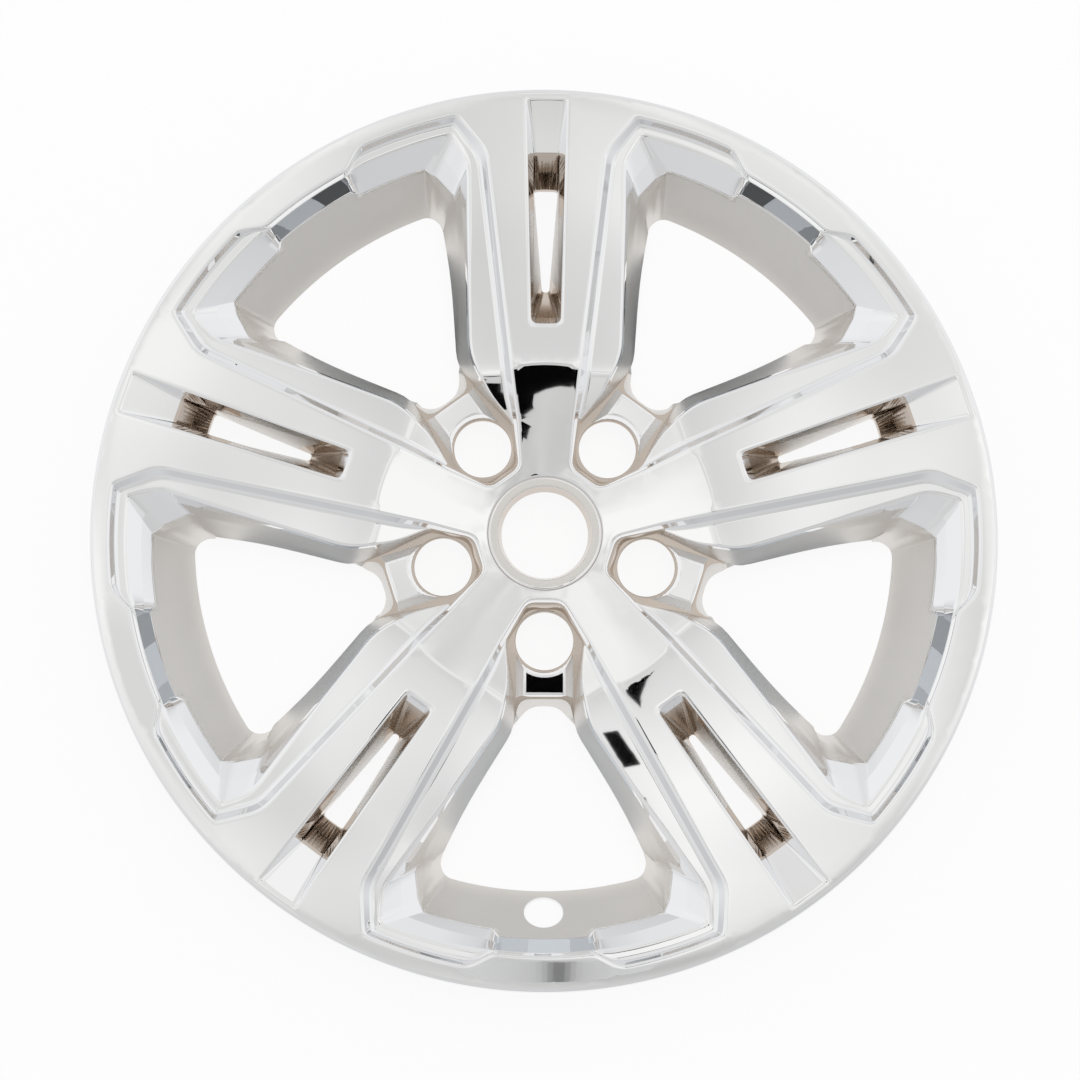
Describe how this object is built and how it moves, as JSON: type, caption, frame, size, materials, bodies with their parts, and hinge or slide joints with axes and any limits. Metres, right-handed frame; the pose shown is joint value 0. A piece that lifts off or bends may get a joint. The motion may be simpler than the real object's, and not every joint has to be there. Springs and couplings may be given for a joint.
{
  "type": "wheel cover",
  "caption": "Chrome-plated wheel cover with broad slotted spokes, stepped windows, lug pockets, a centre bore and a valve hole; lies over the face of a car wheel.",
  "frame": {"origin": "on the axis, in the rear plane of the window skirts", "axes": "+Z out of the front face along the wheel axis, +Y along the spoke at the top of the picture, +X to the right of the picture"},
  "size_m": [0.476, 0.476, 0.042],
  "materials": {
    "chrome": "bright chrome plate on moulded plastic"
  },
  "bodies": {
    "root": {"wheel_cover": "chrome"}
  },
  "joints": []
}
